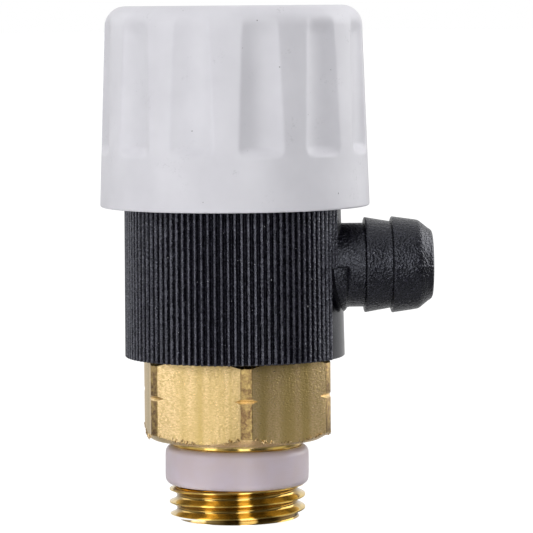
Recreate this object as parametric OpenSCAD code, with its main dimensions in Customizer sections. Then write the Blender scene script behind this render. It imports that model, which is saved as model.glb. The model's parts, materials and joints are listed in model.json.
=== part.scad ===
// Automatic air vent with a swivelling hose tail and a hand shut-off cap.
// Units are millimetres, +Z is up, the origin is the centre of the nipple's open end,
// and the hose tail points along +X. The vent stands as fitted: nipple down, cap up,
// cap screwed shut, system dry, float down.

/* [Nipple and seal] */
// Major diameter of the male thread
thread_d = 16; // [15.8:0.1:16.2]
// Length of thread that stands free below the seal ring
thread_len = 3.9; // [3.4:0.1:3.9]
// Height of the lead-in chamfer at the open end
lead_in = 0.9; // [0.6:0.1:1]
// Diameter of the plain neck that carries the seal ring
neck_d = 15; // [14.8:0.1:15.2]
// Diameter of the water passage
inlet_d = 10; // [8:0.5:10.5]
// Outer diameter of the seal ring
seal_d = 16.9; // [16.6:0.1:17.2]
// Height of the seal ring
seal_h = 4.9; // [4.6:0.1:5]
// Rounding of the seal ring's outer edges
seal_round = 0.9; // [0.4:0.1:1.2]

/* [Hexagon] */
// Size across the flats
hex_af = 21; // [20.6:0.1:21.2]
// Diameter over the turned corners
hex_corner_d = 23.56; // [23:0.02:23.6]
// Height of the hexagon's underside
hex_z = 9.8; // [9.4:0.1:10]
// Height of the hexagon's top face
hex_top_z = 19.9; // [19.7:0.05:19.95]
// Angle of one corner, seen from above
hex_turn = 34; // [0:1:59]
// Diameter at the bottom of the notch across the corners
notch_d = 22.8; // [22.4:0.1:23]
// Height of the notch's middle
notch_z = 14.85; // [13:0.05:16.5]

/* [Spigot and float chamber] */
// Diameter of the two shoulders that the housing turns on
journal_d = 19; // [18.8:0.1:19.1]
// Diameter of the waist between them, which is the outlet channel's floor
waist_d = 17.2; // [17:0.1:17.6]
// Diameter of the float chamber
chamber_d = 15.2; // [15:0.1:15.4]
// Height of the chamber's floor
chamber_z = 11.7; // [11.2:0.1:12]
// Height of the spigot's top edge
spigot_z = 36; // [35.5:0.1:36.2]

/* [Swivel housing] */
// Diameter over the ribs
housing_d = 26; // [25.4:0.1:26.2]
// Diameter at the bottom of the grooves
groove_d = 25.3; // [24.8:0.1:25.4]
// Number of ribs round a full circle
rib_count = 104; // [60:1:120]
// Half angle of the smooth field round the hose tail
smooth_half = 32.5; // [28:0.5:40]
// Diameter of the smooth field
smooth_d = 25.1; // [24.8:0.1:25.3]
// Height of the lower rim
housing_z = 19.35; // [19.2:0.05:19.6]
// Height of the upper rim, inside the cap
housing_top_z = 44; // [43.6:0.1:44]
// Radial play of the housing on its journals
swivel_play = 0.08; // [0.05:0.01:0.1]

/* [Hose tail] */
// Height of the tail's axis
tail_z = 30; // [29:0.5:31]
// Diameter of the stem
tail_d = 9.9; // [9.4:0.1:10.2]
// Diameter over the barbs
barb_d = 11.2; // [10.8:0.1:11.6]
// Diameter of the tail's bore
tail_bore_d = 6.5; // [5:0.1:7]
// Distance of the tail's end from the vent's axis
tail_reach = 23.2; // [23:0.1:24]

/* [Hand cap] */
// Diameter at the open rim
cap_d = 31.6; // [31.4:0.1:32]
// Diameter below the top rounding
cap_top_d = 30; // [29.8:0.1:30.4]
// Height of the open rim
cap_z = 37.1; // [37:0.1:37.6]
// Height of the cap's top
cap_top_z = 60.5; // [60.3:0.1:60.8]
// Number of finger flutes
flute_count = 12; // [8:1:14]
// Angle of one flute, seen from above
flute_turn = 10; // [0:1:29]
// Width of a flute
flute_w = 5; // [4:0.1:5.4]
// Inner diameter of the skirt
skirt_d = 27.2; // [27:0.1:27.4]

/* [Float train] */
// Diameter of the float
float_d = 13.2; // [12.6:0.1:13.6]
// Height of the float
float_h = 12; // [11:0.5:12]
// Upward travel of the float
float_rise = 2.4; // [2:0.1:2.4]
// Distance of the lever's pivot from the vent's axis
pivot_x = 4; // [3.8:0.1:4.2]
// Height of the lever's middle
lever_z = 29.5; // [29.3:0.1:29.6]
// Diameter of the lever's pin
pin_d = 1.2; // [1:0.1:1.4]

/* [Hidden] */

$fn = 96;
eps = 0.01;                               // how far a cutter runs past the face it opens
tan30 = tan(30);

// Colours of the finished pieces
brass_c = [0.80, 0.64, 0.36];
nylon_c = [0.75, 0.68, 0.68];
black_c = [0.09, 0.09, 0.10];
white_c = [0.85, 0.85, 0.86];
rubber_c = [0.12, 0.12, 0.12];
steel_c = [0.66, 0.67, 0.69];
float_c = [0.90, 0.88, 0.80];

// Nipple and seal ring
lead_in_d = thread_d - 2 * 1.2;           // diameter of the nipple's end face
seal_z = hex_z - 0.9 - seal_h;            // the ring hangs a little below the hexagon

// Hexagon: both ends carry 30 degree turned chamfers
hex_under_d = hex_corner_d - 3.6;         // the underside's face
hex_top_d = hex_corner_d - 3.16;          // the top face
notch_half = 0.46;

// O-rings of the housing and the grooves that hold them
oring_r = 0.72;
oring_mid_r = journal_d / 2 - 0.66;
groove_floor_r = journal_d / 2 - 1.4;
oring_groove_h = 1.8;
lower_oring_z = 22.2;
upper_oring_z = 42.6;
waist_z = 24.5;                           // lower end of the waist
waist_top_z = 41;                         // upper end of the waist, on the bonnet

// Bonnet
gasket_h = 0.5;
plug_z = 33.5;                            // underside of the bonnet's plug
cup_floor_z = 38;
cup_bore_d = 10.6;
cup_thread_d = 12;
cup_thread_z = 46;
cup_top_z = 51;
port_d = 2.5;
port_z = 39.5;
ear_gap = 3.2;                            // between the lever's two ears
ear_t = 1;
ear_r = 1.3;

// Retaining clip and glide washer above the housing
washer_z = housing_top_z + 0.05;
washer_h = 0.3;
clip_z = washer_z + washer_h;
clip_h = 0.8;
clip_groove_r = journal_d / 2 - 0.6;

// Vent seat: guide for the needle below, orifice, and the lip that the cap shuts on
seat_r = 3;
seat_z = 32.6;
guide_r = 1.55;
orifice_z = 36;
orifice_r = 0.4;
lip_r = 1.8;
lip_z = 40.4;

// Shut-off disc and its holder, which the spindle carries but doesn't turn
disc_gap = 0.05;
disc_z = lip_z + disc_gap;
disc_r = 3.6;
disc_h = 1.15;
holder_z = 41;
holder_r = 4.6;
holder_h = 2;
stem_r = 1.5;
stem_top_z = 46.5;
holder_clip_z = 45.6;
holder_clip_h = 0.5;

// Spindle
spindle_z = holder_z + holder_h + 0.15;
spindle_r = 5.1;
spindle_thread_r = cup_thread_d / 2 - 0.08;
spindle_thread_z = cup_thread_z + 0.3;
collar_z = cup_top_z + 0.5;
collar_h = 0.8;
collar_r = 7.4;
drive_af = 10;
drive_z = collar_z + collar_h;
drive_top_z = 56;
screw_r = 2.5;
ledge_z = holder_clip_z - 0.15;
spindle_oring_z = 44.6;
spindle_oring_r = 0.6;

// Cap
cap_round = 2;
cap_wall_top = 1.8;
web_top_z = drive_top_z + 1.2;
boss_r = 8.2;
cover_r = 7.5;
cover_h = 1.2;
screw_head_r = 4.2;
screw_head_h = 1.9;
flute_z = 43.2;
flute_top_z = 58.6;
flute_depth = 1;                          // at the lower ledge
flute_depth_top = 0.55;
cap_lean = atan((cap_d - cap_top_d) / 2 / (cap_top_z - cap_round - cap_z));
cap_rib_t = 1.2;

// Float train
float_z = 13.2;
float_wall = 0.8;
lever_t = 0.8;
lever_w = 3;
lever_end_x = 5.5;
link_x = pivot_x;
link_r = 0.4;
collar_gap = 2;                           // between the two collars that hold the lever
small_collar_r = 0.9;
small_collar_h = 0.5;
needle_r = 1.45;
needle_neck_r = 0.6;
needle_collar_r = 1.4;
needle_top_z = 34;
tip_r = 1.2;
tip_top_z = orifice_z - float_rise / 2 - 0.05;
strainer_h = 0.8;
strainer_hole_r = 1.15;
pip_h = 0.4;

// A ring with a rectangular section
module ring(r_out, r_in, z, h) {
    translate([0, 0, z])
        difference() {
            cylinder(r = r_out, h = h);
            translate([0, 0, -eps]) cylinder(r = r_in, h = h + 2 * eps);
        }
}

// An O-ring
module oring(mid_r, r, z) {
    translate([0, 0, z]) rotate_extrude() translate([mid_r, 0]) circle(r = r, $fn = 32);
}

// A groove cut into a turned piece, from floor_r outwards
module turned_groove(floor_r, z, h) {
    ring(floor_r + 10, floor_r, z, h);
}

// Brass body: nipple, hexagon with notched corners, and the hollow spigot
module valve_body() {
    color(brass_c)
    difference() {
        union() {
            rotate_extrude()
                polygon([[0, 0], [lead_in_d / 2, 0], [thread_d / 2, lead_in],
                         [thread_d / 2, thread_len], [neck_d / 2, thread_len],
                         [neck_d / 2, hex_z + eps], [0, hex_z + eps]]);
            hexagon_block();
            translate([0, 0, hex_top_z - eps]) cylinder(d = journal_d, h = waist_z - hex_top_z + eps);
            translate([0, 0, waist_z - eps]) cylinder(d = waist_d, h = spigot_z - waist_z + eps);
        }
        translate([0, 0, -eps]) cylinder(d = inlet_d, h = hex_top_z);
        translate([0, 0, chamber_z]) cylinder(d = chamber_d, h = spigot_z);
        turned_groove(groove_floor_r, lower_oring_z - oring_groove_h / 2, oring_groove_h);
    }
}

module hexagon_block() {
    under_rise = (hex_corner_d - hex_under_d) / 2 * tan30;
    top_drop = (hex_corner_d - hex_top_d) / 2 * tan30;
    intersection() {
        rotate([0, 0, hex_turn])
            translate([0, 0, hex_z]) cylinder(d = hex_af / cos(30), h = hex_top_z - hex_z, $fn = 6);
        rotate_extrude()
            polygon([[0, hex_z], [hex_under_d / 2, hex_z], [hex_corner_d / 2, hex_z + under_rise],
                     [hex_corner_d / 2, notch_z - notch_half * 0.85], [notch_d / 2, notch_z],
                     [hex_corner_d / 2, notch_z + notch_half * 0.85],
                     [hex_corner_d / 2, hex_top_z - top_drop], [hex_top_d / 2, hex_top_z],
                     [0, hex_top_z]]);
    }
}

// Self-sealing ring on the nipple's neck
module seal_ring() {
    color(nylon_c)
    rotate_extrude()
        difference() {
            translate([neck_d / 2, seal_z]) square([(seal_d - neck_d) / 2, seal_h]);
            for (end = [0, 1])
                translate([seal_d / 2 - seal_round, seal_z + seal_round + end * (seal_h - 2 * seal_round)])
                    difference() {
                        translate([0, end ? 0 : -seal_round - eps]) square(seal_round + eps);
                        circle(r = seal_round, $fn = 48);
                    }
        }
}

// Pierced plate on the chamber's floor, with three pips that the dry float rests near
module inlet_strainer() {
    color(steel_c) {
        difference() {
            translate([0, 0, chamber_z]) cylinder(d = chamber_d, h = strainer_h);
            for (hole = [0 : 6])
                rotate([0, 0, hole * 60])
                    translate([hole == 6 ? 0 : 3.2, 0, chamber_z - eps])
                        cylinder(r = strainer_hole_r, h = strainer_h + 2 * eps);
        }
        for (pip = [0 : 2])
            rotate([0, 0, 30 + pip * 120])
                translate([5, 0, chamber_z + strainer_h - eps]) cylinder(r = 0.6, h = pip_h);
    }
}

// Brass bonnet screwed into the spigot: plug with the lever's ears below, cup above
module bonnet() {
    flange_z = spigot_z + gasket_h;
    color(brass_c)
    difference() {
        union() {
            translate([0, 0, plug_z]) cylinder(d = chamber_d, h = flange_z - plug_z + eps);
            translate([0, 0, flange_z]) cylinder(d = waist_d, h = waist_top_z - flange_z + eps);
            translate([0, 0, waist_top_z]) cylinder(d = journal_d, h = clip_z + clip_h + 0.3 - waist_top_z);
            translate([0, 0, clip_z + clip_h]) cylinder(d = waist_d, h = cup_top_z - clip_z - clip_h);
            for (side = [-1, 1]) lever_ear(side);
        }
        translate([0, 0, cup_floor_z]) cylinder(d = cup_bore_d, h = cup_top_z);
        translate([0, 0, cup_thread_z]) cylinder(d = cup_thread_d, h = cup_top_z);
        translate([0, 0, plug_z - eps]) cylinder(r = seat_r, h = cup_floor_z - plug_z + 2 * eps);
        for (port = [0 : 3])
            rotate([0, 90, 45 + port * 90]) translate([-port_z, 0, 0]) cylinder(d = port_d, h = journal_d);
        translate([-pivot_x, 0, lever_z]) rotate([90, 0, 0])
            cylinder(d = pin_d, h = ear_gap + 4 * ear_t, center = true);
        turned_groove(groove_floor_r, upper_oring_z - oring_groove_h / 2, oring_groove_h);
        turned_groove(clip_groove_r, clip_z, clip_h);
    }
}

module lever_ear(side) {
    translate([-pivot_x, side * (ear_gap + ear_t) / 2, lever_z]) {
        rotate([90, 0, 0]) cylinder(r = ear_r, h = ear_t, center = true);
        translate([-ear_r, -ear_t / 2, 0]) cube([2 * ear_r, ear_t, plug_z - lever_z + eps]);
    }
}

module bonnet_gasket() {
    color(rubber_c) ring(waist_d / 2, chamber_d / 2, spigot_z, gasket_h);
}

// Vent seat: slotted needle guide, orifice and shut-off lip in one turned insert
module vent_seat() {
    color(brass_c)
    difference() {
        union() {
            translate([0, 0, seat_z]) cylinder(r = seat_r, h = cup_floor_z - seat_z);
            translate([0, 0, cup_floor_z - eps]) cylinder(r = lip_r, h = lip_z - cup_floor_z + eps);
        }
        translate([0, 0, seat_z - eps]) cylinder(r = guide_r, h = orifice_z - seat_z + eps);
        translate([0, 0, seat_z]) cylinder(r = orifice_r, h = lip_z);
        for (slot = [0 : 2])
            rotate([0, 0, slot * 120])
                translate([guide_r - 0.4, -0.4, seat_z - eps]) cube([1, 0.8, orifice_z - seat_z - 0.6]);
    }
}

module lever_pin() {
    color(steel_c)
        translate([-pivot_x, 0, lever_z]) rotate([90, 0, 0])
            cylinder(d = pin_d, h = ear_gap + 2 * ear_t, center = true);
}

module lower_oring() {
    color(rubber_c) oring(oring_mid_r, oring_r, lower_oring_z);
}

module upper_oring() {
    color(rubber_c) oring(oring_mid_r, oring_r, upper_oring_z);
}

// Open snap ring that keeps the housing on
module retaining_clip() {
    color(steel_c)
    difference() {
        ring(11, clip_groove_r, clip_z, clip_h);
        rotate([0, 0, 200]) translate([clip_groove_r - 1, -1.5, clip_z - eps]) cube([4, 3, clip_h + 2 * eps]);
    }
}

module glide_washer() {
    color(float_c) ring(11.5, journal_d / 2, washer_z, washer_h);
}

// Points of the housing's outline: ribs all round, and a smooth field that faces the hose tail
function at(r, a) = [r * cos(a), r * sin(a)];
rib_pitch = 360 / rib_count;
ribs_cut = floor((360 - 2 * smooth_half) / rib_pitch);
rib_start = 180 - ribs_cut * rib_pitch / 2;
smooth_steps = 14;
smooth_sweep = 360 - ribs_cut * rib_pitch;
housing_outline = concat(
    [for (rib = [0 : ribs_cut - 1], corner = [[0.10, groove_d], [0.30, housing_d],
                                              [0.70, housing_d], [0.90, groove_d]])
        at(corner[1] / 2, rib_start + (rib + corner[0]) * rib_pitch)],
    [for (step = [0 : smooth_steps])
        at(smooth_d / 2, rib_start + ribs_cut * rib_pitch + step * smooth_sweep / smooth_steps)]);

// Hose tail: stem and two barbs, each a steep back step and a long taper
module tail_solid() {
    stem = tail_d / 2;
    barb = barb_d / 2;
    translate([0, 0, tail_z]) rotate([0, 90, 0])
        rotate_extrude()
            polygon([[0, 10.5], [stem + 0.55, 10.5], [stem + 0.55, 12.4], [stem, 12.9],
                     [stem, tail_reach - 8.2], [barb, tail_reach - 8], [stem + 0.2, tail_reach - 5.2],
                     [stem + 0.2, tail_reach - 5], [barb, tail_reach - 4.8],
                     [stem + 0.25, tail_reach - 1.6], [stem - 0.75, tail_reach], [0, tail_reach]]);
}

// Black housing that turns on the spigot, with its hose tail
module swivel_housing() {
    bore_r = journal_d / 2 + swivel_play;
    recess_r = hex_corner_d / 2 + 0.3;
    color(black_c)
    difference() {
        union() {
            translate([0, 0, housing_z]) linear_extrude(housing_top_z - housing_z) polygon(housing_outline);
            tail_solid();
        }
        translate([0, 0, housing_z - eps]) cylinder(r = bore_r, h = housing_top_z - housing_z + 2 * eps);
        translate([0, 0, housing_z - eps]) cylinder(r = recess_r, h = hex_top_z + 0.3 - housing_z + eps);
        translate([0, 0, tail_z]) rotate([0, 90, 0]) cylinder(d = tail_bore_d, h = tail_reach + eps);
    }
}

// Non-turning holder of the shut-off disc
module disc_holder() {
    color(brass_c)
    difference() {
        union() {
            translate([0, 0, holder_z]) cylinder(r = holder_r, h = holder_h);
            translate([0, 0, holder_z + holder_h - eps]) cylinder(r = stem_r, h = stem_top_z - holder_z - holder_h + eps);
        }
        translate([0, 0, holder_z - eps]) cylinder(r = disc_r, h = disc_z + disc_h - holder_z + eps);
        ring(stem_r + 1, stem_r - 0.4, holder_clip_z, holder_clip_h);
    }
}

module shutoff_disc() {
    color(rubber_c) translate([0, 0, disc_z]) cylinder(r = disc_r, h = disc_h);
}

// E-clip that holds the disc holder in the spindle
module holder_clip() {
    color(steel_c)
    difference() {
        ring(2.3, stem_r - 0.4, holder_clip_z, holder_clip_h);
        translate([0, -0.7, holder_clip_z - eps]) cube([3, 1.4, holder_clip_h + 2 * eps]);
    }
}

// Cap screw's thread, O-ring land, collar and hexagonal drive in one brass spindle
module cap_spindle() {
    color(brass_c)
    difference() {
        union() {
            translate([0, 0, spindle_z]) cylinder(r = spindle_r, h = spindle_thread_z - spindle_z + eps);
            translate([0, 0, spindle_thread_z]) cylinder(r = spindle_thread_r, h = collar_z - spindle_thread_z + eps);
            translate([0, 0, collar_z]) cylinder(r = collar_r, h = collar_h);
            translate([0, 0, drive_z - eps]) cylinder(d = drive_af / cos(30), h = drive_top_z - drive_z + eps, $fn = 6);
        }
        translate([0, 0, spindle_z - eps]) cylinder(r = stem_r + 0.08, h = ledge_z);
        translate([0, 0, ledge_z]) cylinder(r = screw_r, h = drive_top_z);
        turned_groove(spindle_r - 1.05, spindle_oring_z - 0.75, 1.5);
    }
}

module spindle_oring() {
    color(rubber_c) oring(spindle_r - 0.43, spindle_oring_r, spindle_oring_z);
}

// Pan-head screw that holds the cap on the spindle's drive
module cap_screw() {
    color(steel_c)
    difference() {
        union() {
            translate([0, 0, 49.5]) cylinder(r = screw_r, h = web_top_z - 49.5 + eps);
            translate([0, 0, web_top_z]) cylinder(r = screw_head_r, h = screw_head_h);
        }
        for (turn = [0, 90])
            rotate([0, 0, turn])
                translate([-2.2, -0.45, web_top_z + 0.6]) cube([4.4, 0.9, screw_head_h]);
    }
}

// Cover that snaps into the cap's top over the screw
module cap_cover() {
    color(white_c) translate([0, 0, cap_top_z - cover_h]) cylinder(r = cover_r, h = cover_h);
}

module flute_cutter() {
    floor_z = flute_z;
    mid_r = cap_d / 2 - (flute_z - cap_z) * tan(cap_lean) - flute_depth;
    floor_lean = atan((mid_r - (cap_top_d / 2 - flute_depth_top)) / (flute_top_z - flute_z));
    translate([mid_r, 0, floor_z]) rotate([0, -floor_lean, 0])
        translate([0, -flute_w / 2, 0]) cube([4, flute_w, flute_top_z - flute_z]);
}

// White hand cap: fluted shell with a hexagonal boss that sits on the spindle's drive
module hand_cap() {
    top_r = cap_top_d / 2;
    roof_z = cap_top_z - cap_wall_top;
    color(white_c)
    difference() {
        union() {
            difference() {
                rotate_extrude()
                    union() {
                        polygon([[0, cap_z], [cap_d / 2, cap_z], [top_r, cap_top_z - cap_round],
                                 [top_r - cap_round, cap_top_z], [0, cap_top_z]]);
                        translate([top_r - cap_round, cap_top_z - cap_round]) circle(r = cap_round, $fn = 48);
                    }
                rotate_extrude()
                    polygon([[0, cap_z - eps], [skirt_d / 2, cap_z - eps], [skirt_d / 2, housing_top_z],
                             [skirt_d / 2 - 0.7, roof_z], [0, roof_z]]);
                for (flute = [0 : flute_count - 1])
                    rotate([0, 0, flute_turn + flute * 360 / flute_count]) flute_cutter();
            }
            translate([0, 0, drive_z]) cylinder(r = boss_r, h = roof_z - drive_z + eps);
            for (rib = [0 : 5])
                rotate([0, 0, rib * 60])
                    translate([boss_r - 1, -cap_rib_t / 2, roof_z - 4]) cube([6, cap_rib_t, 4 + eps]);
        }
        translate([0, 0, drive_z - eps]) cylinder(d = drive_af / cos(30), h = drive_top_z - drive_z + eps, $fn = 6);
        translate([0, 0, drive_z]) cylinder(r = screw_r + 0.1, h = cap_top_z);
        translate([0, 0, web_top_z]) cylinder(r = screw_head_r + 0.4, h = cap_top_z);
        translate([0, 0, cap_top_z - cover_h]) cylinder(r = cover_r, h = cap_z);
    }
}

// Float: a moulded cup, closed from below by a welded lid
module float_shell() {
    color(float_c)
    difference() {
        translate([0, 0, float_z]) cylinder(d = float_d, h = float_h);
        translate([0, 0, float_z - eps]) cylinder(r = float_d / 2 - float_wall, h = float_h - float_wall + eps);
    }
}

module float_lid() {
    color(float_c) translate([0, 0, float_z]) cylinder(r = float_d / 2 - float_wall, h = float_wall);
}

// A stem along Z with two collars that hold the lever between them
module collared_stem(r, collar, z_bottom, z_top) {
    translate([0, 0, z_bottom]) cylinder(r = r, h = z_top - z_bottom);
    for (side = [-1, 1])
        translate([0, 0, lever_z + side * (collar_gap + small_collar_h) / 2])
            cylinder(r = collar, h = small_collar_h, center = true);
}

// Wire link that hangs the float on the lever's free end
module float_link() {
    color(steel_c)
    translate([link_x, 0, 0]) {
        translate([0, 0, float_z + float_h]) cylinder(r = 1.5, h = 0.6);
        collared_stem(link_r, small_collar_r, float_z + float_h, lever_z + collar_gap / 2 + small_collar_h);
    }
}

// Stamped lever, with its bush on the pin and slots for the needle and the link
module float_lever() {
    color(steel_c)
    difference() {
        union() {
            translate([-pivot_x, 0, lever_z]) rotate([90, 0, 0]) cylinder(r = 1.1, h = lever_w, center = true);
            translate([-pivot_x, -lever_w / 2, lever_z - lever_t / 2]) cube([pivot_x + lever_end_x, lever_w, lever_t]);
            translate([0, 0, lever_z]) cylinder(r = 2.3, h = lever_t, center = true);
        }
        translate([-pivot_x, 0, lever_z]) rotate([90, 0, 0]) cylinder(d = pin_d + 0.1, h = lever_w + 1, center = true);
        translate([-1.1, -0.85, lever_z - lever_t]) cube([2.2, 1.7, 2 * lever_t]);
        translate([link_x - 0.8, -0.65, lever_z - lever_t]) cube([1.8, 1.3, 2 * lever_t]);
    }
}

// Needle that the lever lifts in its guide
module needle() {
    neck_z = lever_z - collar_gap / 2 - small_collar_h;
    color(steel_c)
    union() {
        collared_stem(needle_neck_r, needle_collar_r, neck_z, lever_z + collar_gap / 2 + small_collar_h);
        translate([0, 0, lever_z + collar_gap / 2 + small_collar_h - eps])
            cylinder(r = needle_r, h = needle_top_z - lever_z - collar_gap / 2 - small_collar_h + eps);
    }
}

module needle_tip() {
    color(rubber_c)
        translate([0, 0, needle_top_z]) cylinder(r = tip_r, h = tip_top_z - needle_top_z);
}

valve_body();
seal_ring();
inlet_strainer();
bonnet();
bonnet_gasket();
vent_seat();
lever_pin();
lower_oring();
upper_oring();
retaining_clip();
glide_washer();
swivel_housing();
disc_holder();
shutoff_disc();
holder_clip();
hand_cap();
cap_spindle();
spindle_oring();
cap_screw();
cap_cover();
float_shell();
float_lid();
float_link();
float_lever();
needle();
needle_tip();
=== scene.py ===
"""Automatic air vent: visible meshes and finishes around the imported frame, with its studio.

Lengths in the classes are millimetres, as a maker would dimension the drawing; meshes are built in metres.
"""
import json
import logging
import math
import random
from dataclasses import dataclass
from enum import Enum
from typing import Optional, Sequence

import bmesh
import bpy
from mathutils import Matrix, Vector


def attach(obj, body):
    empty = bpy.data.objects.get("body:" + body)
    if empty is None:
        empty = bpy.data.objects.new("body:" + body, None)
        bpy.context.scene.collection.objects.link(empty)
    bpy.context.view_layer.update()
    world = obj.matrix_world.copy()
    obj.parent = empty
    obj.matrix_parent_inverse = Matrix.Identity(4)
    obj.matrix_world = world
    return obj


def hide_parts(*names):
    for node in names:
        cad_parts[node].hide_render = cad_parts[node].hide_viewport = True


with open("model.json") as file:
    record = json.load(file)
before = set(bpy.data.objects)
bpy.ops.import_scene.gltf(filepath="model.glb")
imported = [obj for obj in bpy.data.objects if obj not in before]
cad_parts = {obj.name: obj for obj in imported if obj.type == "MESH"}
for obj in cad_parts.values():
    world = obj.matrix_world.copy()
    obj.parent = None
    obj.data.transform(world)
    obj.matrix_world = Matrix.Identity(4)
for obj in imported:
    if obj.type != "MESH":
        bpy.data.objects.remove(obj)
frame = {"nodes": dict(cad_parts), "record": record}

LOG = logging.getLogger("air_vent")
MM = 0.001
FULL_TURN = 2 * math.pi
WELD = 1e-7

Point = tuple[float, float]
Colour = tuple[float, float, float, float]
Socket = bpy.types.NodeSocket


class Body(Enum):
    """The moving bodies of the frame that visible pieces ride on."""

    VALVE = "valve"
    SWIVEL = "swivel"
    CAP = "cap"


class Slot(Enum):
    """Material slots named in the record."""

    BRASS = "brass"
    NYLON = "nylon"
    BLACK = "black_plastic"
    WHITE = "white_plastic"
    RUBBER = "rubber"
    STEEL = "steel"
    FLOAT = "float_plastic"


class Merge(Enum):
    """How one solid is combined with another."""

    JOIN = "UNION"
    CUT = "DIFFERENCE"
    KEEP_COMMON = "INTERSECT"


# ---------------------------------------------------------------- shapes

def arc(centre: Point, radius: float, start: float, end: float, steps: int) -> list[Point]:
    """Gives points along an arc of a turned profile.

    Args:
        centre: radius and height of the arc's centre, in mm.
        radius: the arc's radius, in mm.
        start: angle of the first point in degrees, 0 pointing outwards and 90 up.
        end: angle of the last point in degrees.
        steps: number of chords.

    Returns:
        The points, both ends included.
    """
    angles = [math.radians(start + (end - start) * step / steps) for step in range(steps + 1)]
    return [(centre[0] + radius * math.cos(a), centre[1] + radius * math.sin(a)) for a in angles]


def ladder(low: float, high: float, rungs: int) -> list[float]:
    """Gives evenly spaced values from low to high, both included."""
    return [low + (high - low) * rung / rungs for rung in range(rungs + 1)]


def smooth(t: float) -> float:
    """Eases a value from 0 to 1 with flat ends, and holds it outside them."""
    t = min(max(t, 0.0), 1.0)
    return t * t * (3 - 2 * t)


def spun(profile: Sequence[Point], steps: int, closed: bool = True) -> bmesh.types.BMesh:
    """Turns a profile round the Z axis.

    Args:
        profile: radius and height of each corner, in mm.
        steps: number of steps in the full turn.
        closed: whether the last corner joins the first, as a ring's section does.

    Returns:
        A closed mesh with its faces outwards.
    """
    bm = bmesh.new()
    corners = [bm.verts.new((r * MM, 0.0, z * MM)) for r, z in profile]
    pairs = list(zip(corners, corners[1:]))
    if closed:
        pairs.append((corners[-1], corners[0]))
    edges = [bm.edges.new(pair) for pair in pairs]
    bmesh.ops.spin(bm, geom=corners + edges, cent=(0, 0, 0), axis=(0, 0, 1), dvec=(0, 0, 0),
                   angle=FULL_TURN, steps=steps, use_merge=True, use_duplicate=False)
    bmesh.ops.remove_doubles(bm, verts=bm.verts, dist=WELD)
    bmesh.ops.recalc_face_normals(bm, faces=bm.faces)
    return bm


def as_object(bm: bmesh.types.BMesh, name: str, crease: float = 32.0) -> bpy.types.Object:
    """Makes a scene object of a mesh and frees the working mesh.

    Args:
        bm: the finished working mesh, in metres.
        name: the piece's name.
        crease: angle in degrees above which an edge is shaded sharp.

    Returns:
        The object, at the origin.
    """
    mesh = bpy.data.meshes.new(name)
    bm.to_mesh(mesh)
    bm.free()
    piece = bpy.data.objects.new(name, mesh)
    bpy.context.scene.collection.objects.link(piece)
    shade(piece, crease)
    return piece


def shade(piece: bpy.types.Object, crease: float) -> None:
    """Shades a piece smooth, with edges above the crease angle sharp."""
    piece.data.shade_smooth()
    piece.data.set_sharp_from_angle(angle=math.radians(crease))


def combine(base: bpy.types.Object, tool: bpy.types.Object, how: Merge) -> None:
    """Combines two solids and removes the second.

    Args:
        base: the solid that stays.
        tool: the solid that is joined to it or cut from it.
        how: the kind of combination.
    """
    step = base.modifiers.new("combine", "BOOLEAN")
    step.operation = how.value
    step.solver = "EXACT"
    step.object = tool
    take_modifiers(base)
    bpy.data.objects.remove(tool, do_unlink=True)


def take_modifiers(piece: bpy.types.Object) -> None:
    """Makes the result of a piece's modifiers its mesh.

    Args:
        piece: the piece whose modifiers are used up.
    """
    evaluated = piece.evaluated_get(bpy.context.evaluated_depsgraph_get())
    mesh = bpy.data.meshes.new_from_object(evaluated)
    old = piece.data
    piece.modifiers.clear()
    piece.data = mesh
    bpy.data.meshes.remove(old)


def soften(piece: bpy.types.Object, width: float, angle: float, segments: int = 2) -> None:
    """Rounds a piece's sharp edges.

    Args:
        piece: the piece to round.
        width: width of the rounding, in mm.
        angle: edges that turn more than this many degrees are rounded.
        segments: number of strips in the rounding.
    """
    bm = bmesh.new()
    bm.from_mesh(piece.data)
    bmesh.ops.remove_doubles(bm, verts=bm.verts, dist=2e-6)
    limit = math.radians(angle)
    sharp = [edge for edge in bm.edges if edge.is_manifold and edge.calc_face_angle(0) > limit]
    bmesh.ops.bevel(bm, geom=sharp, offset=width * MM, offset_type="OFFSET", segments=segments,
                    profile=0.5, affect="EDGES", material=-1, clamp_overlap=True)
    bm.to_mesh(piece.data)
    bm.free()


def turned(name: str, profile: Sequence[Point], steps: int, closed: bool = True) -> bpy.types.Object:
    """Makes a turned piece from its profile, as spun does, and gives its object."""
    return as_object(spun(profile, steps, closed), name)


def toward(azimuth: float) -> Vector:
    """Gives the level direction at an azimuth in degrees, 0 towards the viewer and positive to the right."""
    return Vector((math.sin(math.radians(azimuth)), -math.cos(math.radians(azimuth)), 0))


# ---------------------------------------------------------------- node materials

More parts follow.
